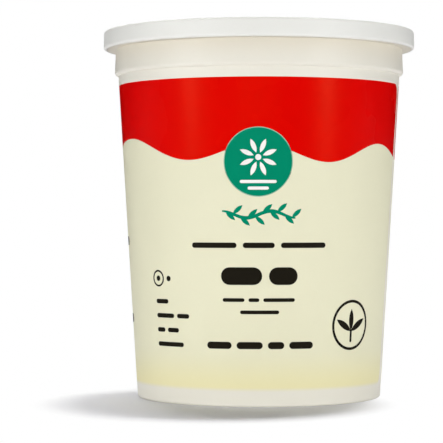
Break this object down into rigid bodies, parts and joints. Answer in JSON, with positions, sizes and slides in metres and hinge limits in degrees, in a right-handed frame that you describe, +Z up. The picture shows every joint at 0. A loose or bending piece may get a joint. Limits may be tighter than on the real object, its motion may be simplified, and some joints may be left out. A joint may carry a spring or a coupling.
{
  "type": "yogurt pot",
  "caption": "Shut round yogurt pot: a tapered plastic tub with a stacking collar, a press-on lid with a recessed top, and a label moulded into its wall.",
  "frame": {"origin": "centre of the base, on the surface the pot stands on", "axes": "+Z up along the pot's axis; the front of the label faces -Y, with +X to the right of someone facing it"},
  "size_m": [0.116, 0.116, 0.136],
  "materials": {
    "tub_plastic": "satin, warm white, slightly translucent",
    "lid_plastic": "satin white",
    "label_film": "satin printed film, cream with a red upper field"
  },
  "bodies": {
    "root": {"tub": "tub_plastic", "lid": "lid_plastic", "label": "label_film"}
  },
  "joints": []
}
